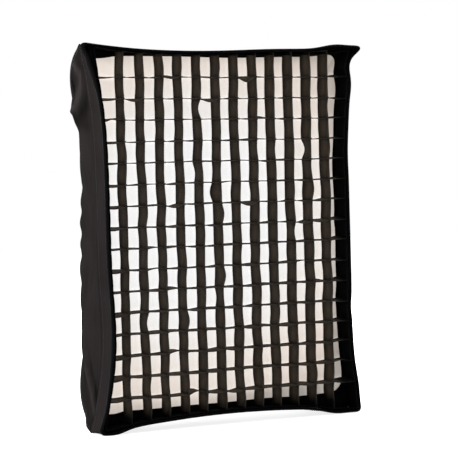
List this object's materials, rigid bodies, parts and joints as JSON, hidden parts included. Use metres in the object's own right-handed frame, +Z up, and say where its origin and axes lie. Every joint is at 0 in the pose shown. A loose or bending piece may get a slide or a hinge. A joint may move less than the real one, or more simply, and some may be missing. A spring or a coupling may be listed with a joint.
{
  "type": "rectangular softbox",
  "caption": "Rectangular studio softbox with fabric egg-crate grid, recessed diffuser and bayonet speedring; spreads and directs a studio light.",
  "frame": {"origin": "centre of the light bore at the mount adapter's rear face", "axes": "+Y back towards the light, so the front faces -Y; +Z up along the long side; +X to the right seen from the front"},
  "size_m": [0.631, 0.475, 0.809],
  "materials": {
    "adapter_aluminium": "turned and brushed",
    "diffuser_cloth": "translucent white cloth",
    "elastic_collar": "black elasticated cloth",
    "ferrule_steel": "turned steel",
    "grid_cloth": "charcoal black cloth webbing",
    "hem_tape": "folded black binding tape",
    "hook_and_loop": "napped black loop tape",
    "knob_plastic": "fluted black plastic",
    "lip_nylon": "plain-weave black nylon",
    "pad_brass": "turned",
    "pocket_webbing": "black woven webbing",
    "ring_aluminium": "satin black",
    "rod_steel": "spring steel",
    "rod_tip_rubber": "matte rubber",
    "screw_steel": "blackened steel",
    "shell_nylon": "plain-weave nylon, black outside, silver-coated inside",
    "snap_steel": "plated snap fastener",
    "socket_casting": "as cast",
    "vent_net": "black net",
    "webbing": "white elastic webbing",
    "white_binding": "off-white folded cloth tape"
  },
  "bodies": {
    "housing": {"baffle_border": "white_binding", "baffle_snaps": "snap_steel", "baffle_straps": "webbing", "corner_pocket_bottom_left": "pocket_webbing", "corner_pocket_bottom_right": "pocket_webbing", "corner_pocket_top_left": "pocket_webbing", "corner_pocket_top_right": "pocket_webbing", "inner_baffle": "diffuser_cloth", "lip_binding": "hem_tape", "lip_bottom": "lip_nylon", "lip_left": "lip_nylon", "lip_loop_tape": "hook_and_loop", "lip_right": "lip_nylon", "lip_top": "lip_nylon", "rear_collar": "elastic_collar", "rod_bottom_left": "rod_steel", "rod_bottom_right": "rod_steel", "rod_ferrule_bottom_left": "ferrule_steel", "rod_ferrule_bottom_right": "ferrule_steel", "rod_ferrule_top_left": "ferrule_steel", "rod_ferrule_top_right": "ferrule_steel", "rod_socket_bottom_left": "socket_casting", "rod_socket_bottom_right": "socket_casting", "rod_socket_top_left": "socket_casting", "rod_socket_top_right": "socket_casting", "rod_tip_bottom_left": "rod_tip_rubber", "rod_tip_bottom_right": "rod_tip_rubber", "rod_tip_top_left": "rod_tip_rubber", "rod_tip_top_right": "rod_tip_rubber", "rod_top_left": "rod_steel", "rod_top_right": "rod_steel", "shell_bottom": "shell_nylon", "shell_left": "shell_nylon", "shell_right": "shell_nylon", "shell_top": "shell_nylon", "socket_screws": "screw_steel", "speedring_body": "ring_aluminium", "vent_mesh_bottom": "vent_net", "vent_mesh_top": "vent_net"},
    "adapter": {"adapter_collar": "adapter_aluminium", "adapter_disc": "adapter_aluminium", "bayonet_lugs": "adapter_aluminium"},
    "clamp_pad_1": {"clamp_pad_1": "pad_brass"},
    "clamp_knob_1": {"clamp_knob_1": "knob_plastic"},
    "clamp_pad_2": {"clamp_pad_2": "pad_brass"},
    "clamp_knob_2": {"clamp_knob_2": "knob_plastic"},
    "clamp_pad_3": {"clamp_pad_3": "pad_brass"},
    "clamp_knob_3": {"clamp_knob_3": "knob_plastic"},
    "diffuser": {"front_diffuser": "diffuser_cloth", "diffuser_border": "white_binding"},
    "grid": {"grid_border": "grid_cloth", "grid_columns": "grid_cloth", "grid_rows": "grid_cloth"},
    "vent_flap_top": {"vent_flap_top": "shell_nylon"},
    "vent_flap_bottom": {"vent_flap_bottom": "shell_nylon"}
  },
  "joints": [
    {"name": "adapter_turn", "type": "hinge", "parent": "housing", "child": "adapter", "pos_m": [0, 0, 0], "axis": [0, 1, 0], "continuous": true},
    {"name": "clamp_travel_1", "type": "slide", "parent": "housing", "child": "clamp_pad_1", "axis": [0, 0, 1], "range_m": [0, 0.0025]},
    {"name": "clamp_turn_1", "type": "hinge", "parent": "clamp_pad_1", "child": "clamp_knob_1", "pos_m": [0, -0.0185, 0.09], "axis": [0, 0, 1], "range_deg": [0, 900]},
    {"name": "clamp_travel_2", "type": "slide", "parent": "housing", "child": "clamp_pad_2", "axis": [-0.866, 0, -0.5], "range_m": [0, 0.0025]},
    {"name": "clamp_turn_2", "type": "hinge", "parent": "clamp_pad_2", "child": "clamp_knob_2", "pos_m": [-0.07794, -0.0185, -0.045], "axis": [-0.866, 0, -0.5], "range_deg": [0, 900]},
    {"name": "clamp_travel_3", "type": "slide", "parent": "housing", "child": "clamp_pad_3", "axis": [0.866, 0, -0.5], "range_m": [0, 0.0025]},
    {"name": "clamp_turn_3", "type": "hinge", "parent": "clamp_pad_3", "child": "clamp_knob_3", "pos_m": [0.07794, -0.0185, -0.045], "axis": [0.866, 0, -0.5], "range_deg": [0, 900]},
    {"name": "diffuser_release", "type": "slide", "parent": "housing", "child": "diffuser", "axis": [0, -1, 0], "range_m": [0, 0.09]},
    {"name": "grid_release", "type": "slide", "parent": "diffuser", "child": "grid", "axis": [0, -1, 0], "range_m": [0, 0.07]},
    {"name": "vent_flap_top_lift", "type": "hinge", "parent": "housing", "child": "vent_flap_top", "pos_m": [0, -0.0575, 0.184], "axis": [1, 0, 0], "range_deg": [0, 100]},
    {"name": "vent_flap_bottom_lift", "type": "hinge", "parent": "housing", "child": "vent_flap_bottom", "pos_m": [0, -0.0575, -0.184], "axis": [-1, 0, 0], "range_deg": [0, 100]}
  ],
  "couplings": [
    {"joint": "clamp_turn_1", "follows": "clamp_travel_1", "rad_per_m": 6283.2},
    {"joint": "clamp_turn_2", "follows": "clamp_travel_2", "rad_per_m": 6283.2},
    {"joint": "clamp_turn_3", "follows": "clamp_travel_3", "rad_per_m": 6283.2}
  ]
}
